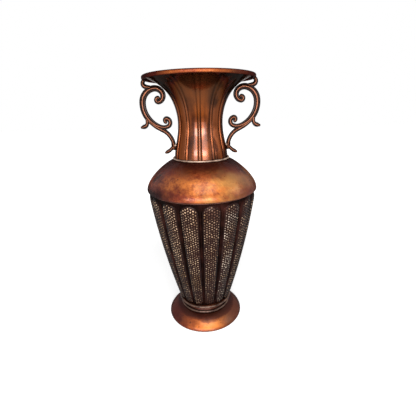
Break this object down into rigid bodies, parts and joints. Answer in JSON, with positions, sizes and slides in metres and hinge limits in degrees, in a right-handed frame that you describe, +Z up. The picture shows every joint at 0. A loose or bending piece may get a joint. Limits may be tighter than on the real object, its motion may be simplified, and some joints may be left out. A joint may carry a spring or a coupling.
{
  "type": "urn vase",
  "caption": "Tall two-handled metal urn vase with a bell foot, pebbled lobed body, smooth domed shoulder, fluted neck and flared mouth.",
  "frame": {"origin": "centre of the flat ring that the foot stands on", "axes": "+Z up the vase from foot to mouth, X along the line through the two handles, -Y towards the front"},
  "size_m": [0.2186, 0.2086, 0.48],
  "materials": {
    "copper": "mottled copper patina, semi-gloss",
    "dark_copper": "dark brown copper patina, semi-gloss",
    "pewter": "dark antique pewter, pebbled, rubbed light on the high spots",
    "bronze": "dark antique bronze, satin",
    "braze": "pale worn metal, satin"
  },
  "bodies": {
    "root": {"foot": "copper", "lower_base_bead": "bronze", "upper_base_bead": "bronze", "body_floor": "dark_copper", "body": "pewter", "shoulder": "copper", "neck_bead": "braze", "neck": "dark_copper", "rim_bead": "copper", "left_scroll": "bronze", "left_stem": "bronze", "left_rim_hook": "bronze", "left_outer_spur": "bronze", "left_lower_spur": "bronze", "right_scroll": "bronze", "right_stem": "bronze", "right_rim_hook": "bronze", "right_outer_spur": "bronze", "right_lower_spur": "bronze", "braze_pads": "braze"}
  },
  "joints": []
}
